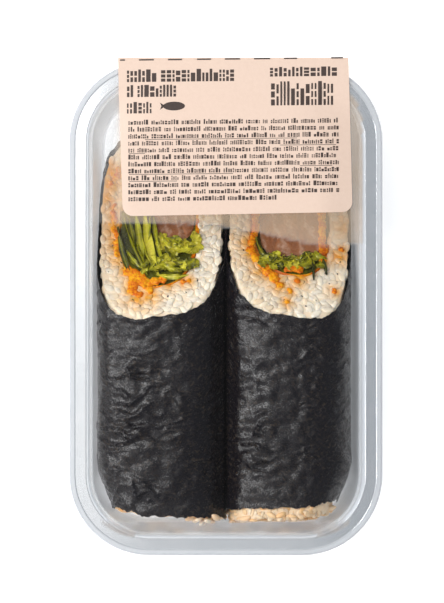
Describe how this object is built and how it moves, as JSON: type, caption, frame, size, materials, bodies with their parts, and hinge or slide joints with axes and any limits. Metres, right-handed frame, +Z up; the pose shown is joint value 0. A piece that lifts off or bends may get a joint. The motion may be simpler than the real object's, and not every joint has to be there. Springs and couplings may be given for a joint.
{
  "type": "takeaway sushi tray",
  "caption": "Clear plastic tray sealed with film and a folded paper label, holding a thick sushi roll cut on a slant, with rice, salmon, lettuce and orange sauce.",
  "frame": {"origin": "centre of the bounding box in plan, at the tray's underside", "axes": "+Y along the tray's length towards the end with the label, +X across it to the right, +Z up"},
  "size_m": [0.113, 0.179, 0.0473],
  "materials": {
    "clear_tray": "clear thermoformed plastic",
    "clear_film": "clear sealing film",
    "label_paper": "coated paper label",
    "nori": "dark seaweed sheet",
    "rice": "moist cooked rice",
    "sauce": "glossy orange sauce",
    "lettuce": "moist leaf",
    "salmon": "moist cooked fish"
  },
  "bodies": {
    "root": {"tray": "clear_tray", "lid_film": "clear_film", "label": "label_paper", "left_nori": "nori", "left_rice": "rice", "left_sauce": "sauce", "left_lettuce": "lettuce", "left_salmon": "salmon", "right_nori": "nori", "right_rice": "rice", "right_sauce": "sauce", "right_lettuce": "lettuce", "right_salmon": "salmon"}
  },
  "joints": []
}
